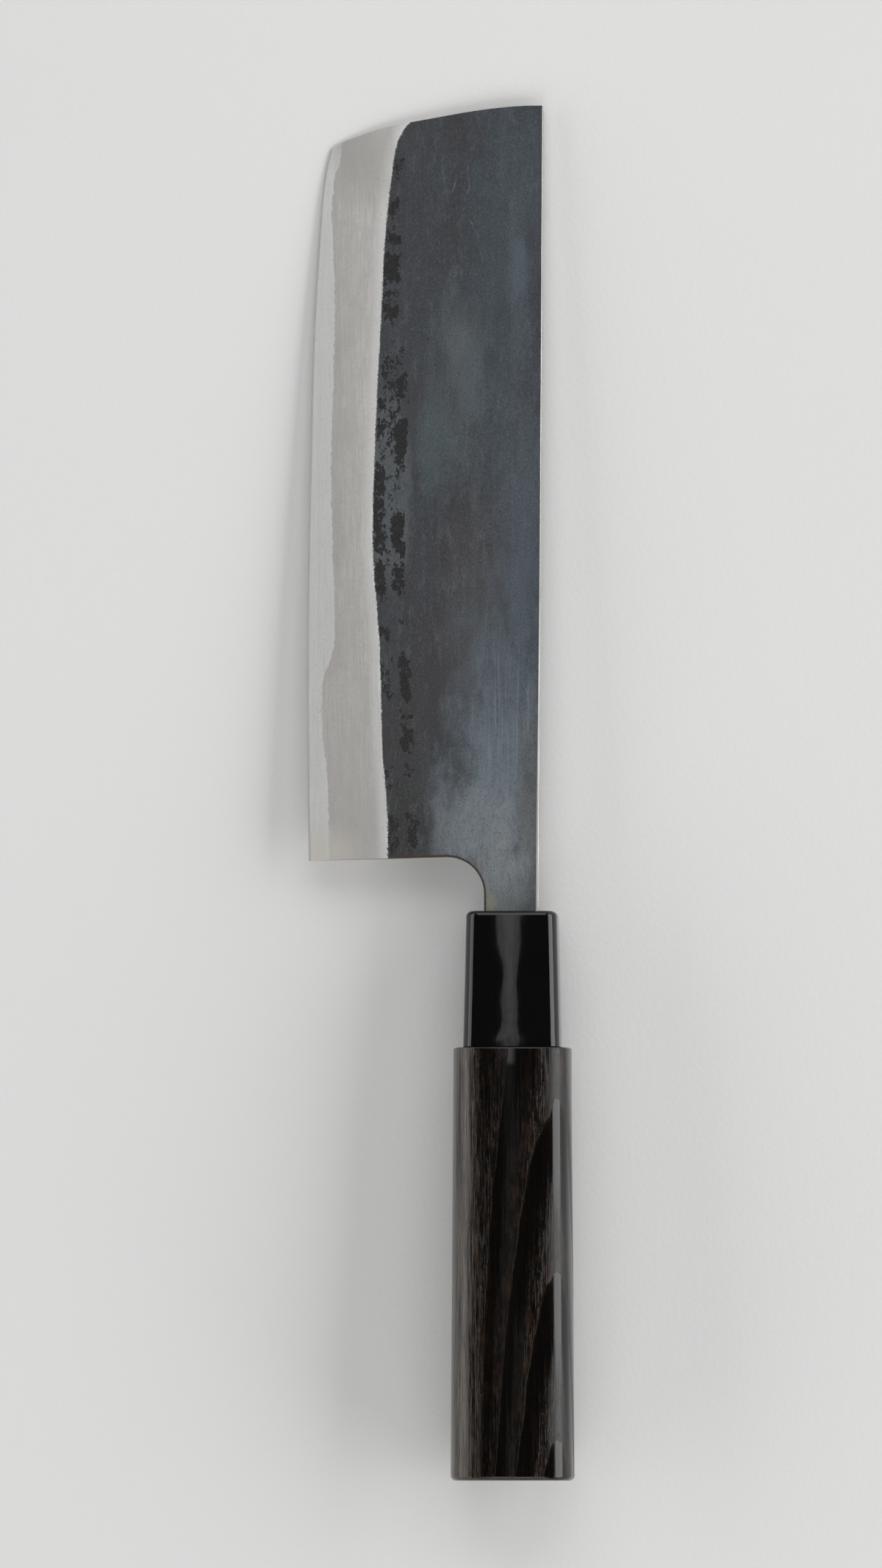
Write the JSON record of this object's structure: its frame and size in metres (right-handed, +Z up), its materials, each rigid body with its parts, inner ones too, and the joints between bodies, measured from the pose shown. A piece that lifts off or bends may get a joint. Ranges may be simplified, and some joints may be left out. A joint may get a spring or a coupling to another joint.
{
  "type": "nakiri knife",
  "caption": "Double-bevelled nakiri with a laminated, dark scale-finished blade, squared tip, glossy black ferrule and rounded dark wood grip.",
  "frame": {"origin": "centre of the bounding box on the table that the knife lies on", "axes": "+X towards the blade's tip, +Y towards the cutting edge, +Z up out of the blade's left face; the knife lies on its right side, so its own plane leans a few degrees down to the tip and the edge"},
  "size_m": [0.3002, 0.0584, 0.0266],
  "materials": {
    "core_steel": "whetstone-ground satin, a little brighter and cooler than the iron beside it",
    "cladding_iron": "dark blue-grey forge scale on the cheeks, bare satin iron on the wide bevel",
    "ferrule_black": "polished black",
    "grip_wood": "burnt and lacquered open-pored wood, nearly black, with light brown pores",
    "resin": "dark cured resin"
  },
  "bodies": {
    "root": {"core_steel": "core_steel", "cladding_left": "cladding_iron", "cladding_right": "cladding_iron", "ferrule": "ferrule_black", "grip": "grip_wood", "tang_bedding": "resin", "mouth_seal": "resin", "ferrule_glue": "resin"}
  },
  "joints": []
}
